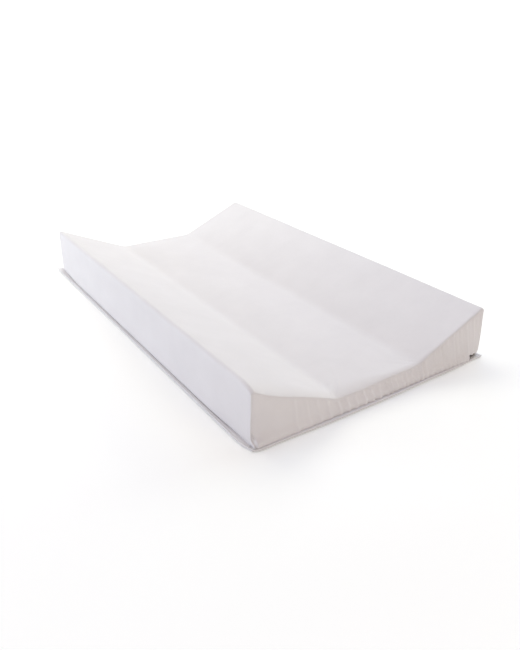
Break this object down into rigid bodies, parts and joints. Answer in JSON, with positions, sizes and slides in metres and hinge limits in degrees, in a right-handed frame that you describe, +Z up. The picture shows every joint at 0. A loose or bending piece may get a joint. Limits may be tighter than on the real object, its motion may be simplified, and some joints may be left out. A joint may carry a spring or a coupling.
{
  "type": "changing pad",
  "caption": "Wedge-sided changing pad: foam slab and two sloped wedges in a sewn, zipped cover with a flat hem at the floor.",
  "frame": {"origin": "centre of the underside, on the floor", "axes": "+Z up, +Y along the pad away from the zipped end, +X across the pad towards the parked zip slider"},
  "size_m": [0.47, 0.77, 0.09],
  "materials": {
    "cover_fabric": "matt coated textile",
    "base_fabric": "matt coated textile",
    "binding": "folded strip of the cover fabric",
    "thread": "spun sewing thread",
    "foam": "open-cell foam",
    "zip_tape": "woven tape",
    "zip_coil": "nylon coil",
    "stop_metal": "satin",
    "slider_metal": "dark plated zinc"
  },
  "bodies": {
    "pad": {"foam_base_slab": "foam", "foam_wedge_left": "foam", "foam_wedge_right": "foam", "wrap_panel": "cover_fabric", "end_panel_near": "cover_fabric", "end_panel_far": "cover_fabric", "bottom_panel": "base_fabric", "hem_binding": "binding", "hem_thread": "thread", "seam_thread_near_end": "thread", "seam_thread_far_end": "thread", "zip_tape_upper": "zip_tape", "zip_tape_lower": "zip_tape", "zip_coil_upper": "zip_coil", "zip_coil_lower": "zip_coil", "zip_top_stops": "stop_metal", "zip_bottom_stop": "stop_metal", "zip_topstitch_thread": "thread"},
    "zip_slider": {"zip_slider_body": "slider_metal"},
    "zip_puller": {"zip_puller": "slider_metal"}
  },
  "joints": [
    {"name": "zip_slide", "type": "slide", "parent": "pad", "child": "zip_slider", "axis": [-1, 0, 0], "range_m": [0, 0.42], "deforming": ["zip_coil_upper", "zip_coil_lower"]},
    {"name": "puller_swing", "type": "hinge", "parent": "zip_slider", "child": "zip_puller", "pos_m": [0.216, -0.37758, 0.0054], "axis": [0, 0, 1], "range_deg": [-18, 162]}
  ]
}
